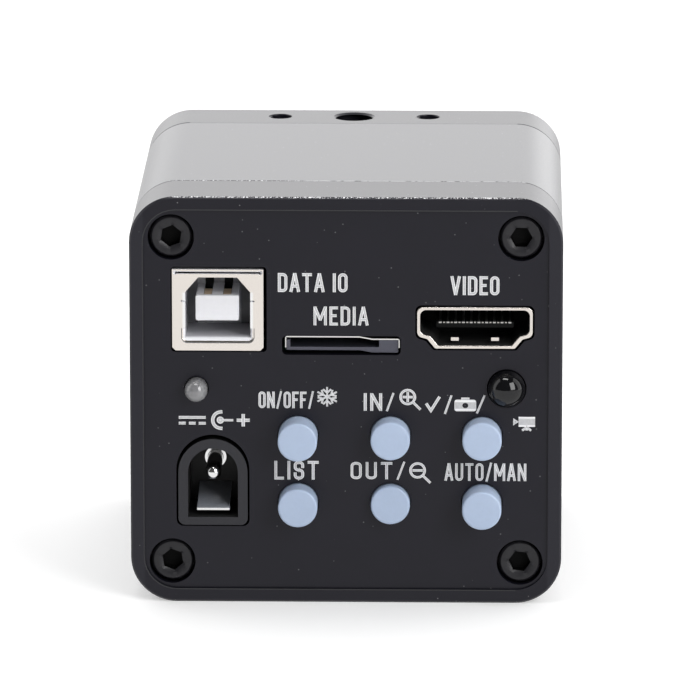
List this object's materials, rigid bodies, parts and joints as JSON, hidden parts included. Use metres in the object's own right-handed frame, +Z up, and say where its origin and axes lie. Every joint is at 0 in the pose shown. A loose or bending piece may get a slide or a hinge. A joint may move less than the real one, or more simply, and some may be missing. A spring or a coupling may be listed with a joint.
{
  "type": "microscope camera",
  "caption": "Box-shaped microscope camera in black anodised aluminium, with a threaded lens ring in front and a back panel of sockets, push buttons, a status light and a remote receiver.",
  "frame": {"origin": "centre of the lens ring's front face, the lens flange, on the optical axis", "axes": "+Y out of the lens mount along the optical axis, +Z up, +X to the right seen from the back panel"},
  "size_m": [0.056, 0.0635, 0.054],
  "materials": {
    "black_anodised": "satin black anodising",
    "ring_steel": "turned, bare",
    "black_steel": "black oxide",
    "zinc_steel": "zinc plated",
    "circuit_board": "green solder resist",
    "chip_black": "moulded, matt",
    "filter_glass": "polished, coated",
    "gasket_rubber": "matt",
    "ceramic": "matt ceramic",
    "sensor_silicon": "polished",
    "socket_steel": "nickel plated sheet",
    "tongue_white": "moulded",
    "socket_black": "moulded, satin",
    "contact_brass": "plated strip",
    "contact_tin": "tinned strip",
    "button_blue": "moulded, satin",
    "switch_black": "moulded",
    "stem_white": "moulded",
    "led_lens": "diffused resin",
    "receiver_black": "dark polished resin",
    "flex_film": "laminated film",
    "connector_ivory": "moulded"
  },
  "bodies": {
    "housing": {"body_tube": "black_anodised", "back_cover": "black_anodised", "front_cover": "black_anodised", "back_cover_screws": "black_steel", "front_cover_screws": "black_steel", "lens_ring": "ring_steel", "filter_glass": "filter_glass", "dust_gasket": "gasket_rubber", "sensor_package": "ceramic", "sensor_die": "sensor_silicon", "sensor_window": "filter_glass", "sensor_board": "circuit_board", "sensor_board_screws": "zinc_steel", "main_board": "circuit_board", "main_processor": "chip_black", "memory_chips": "chip_black", "flex_connectors": "connector_ivory", "flex_cable": "flex_film", "board_link": "connector_ivory", "key_board": "circuit_board", "key_board_screws": "zinc_steel", "data_port_shell": "socket_steel", "data_port_insulator": "tongue_white", "data_port_contacts": "contact_brass", "video_port_shell": "socket_steel", "video_port_insulator": "socket_black", "video_port_contacts": "contact_tin", "card_slot_shell": "socket_steel", "card_slot_housing": "socket_black", "card_slot_contacts": "contact_brass", "power_jack_body": "socket_black", "power_jack_pin": "contact_tin", "power_jack_spring": "contact_tin", "status_led": "led_lens", "status_led_leads": "contact_tin", "remote_receiver": "receiver_black", "remote_receiver_leads": "contact_tin", "power_switch_base": "switch_black", "up_switch_base": "switch_black", "confirm_switch_base": "switch_black", "menu_switch_base": "switch_black", "down_switch_base": "switch_black", "mode_switch_base": "switch_black"},
    "power_button": {"power_button_cap": "button_blue", "power_button_stem": "stem_white"},
    "up_button": {"up_button_cap": "button_blue", "up_button_stem": "stem_white"},
    "confirm_button": {"confirm_button_cap": "button_blue", "confirm_button_stem": "stem_white"},
    "menu_button": {"menu_button_cap": "button_blue", "menu_button_stem": "stem_white"},
    "down_button": {"down_button_cap": "button_blue", "down_button_stem": "stem_white"},
    "mode_button": {"mode_button_cap": "button_blue", "mode_button_stem": "stem_white"}
  },
  "joints": [
    {"name": "power_press", "type": "slide", "parent": "housing", "child": "power_button", "axis": [0, 1, 0], "range_m": [0, 0.00025], "stiffness_N_per_m": 2000},
    {"name": "up_press", "type": "slide", "parent": "housing", "child": "up_button", "axis": [0, 1, 0], "range_m": [0, 0.00025], "stiffness_N_per_m": 2000},
    {"name": "confirm_press", "type": "slide", "parent": "housing", "child": "confirm_button", "axis": [0, 1, 0], "range_m": [0, 0.00025], "stiffness_N_per_m": 2000},
    {"name": "menu_press", "type": "slide", "parent": "housing", "child": "menu_button", "axis": [0, 1, 0], "range_m": [0, 0.00025], "stiffness_N_per_m": 2000},
    {"name": "down_press", "type": "slide", "parent": "housing", "child": "down_button", "axis": [0, 1, 0], "range_m": [0, 0.00025], "stiffness_N_per_m": 2000},
    {"name": "mode_press", "type": "slide", "parent": "housing", "child": "mode_button", "axis": [0, 1, 0], "range_m": [0, 0.00025], "stiffness_N_per_m": 2000}
  ]
}
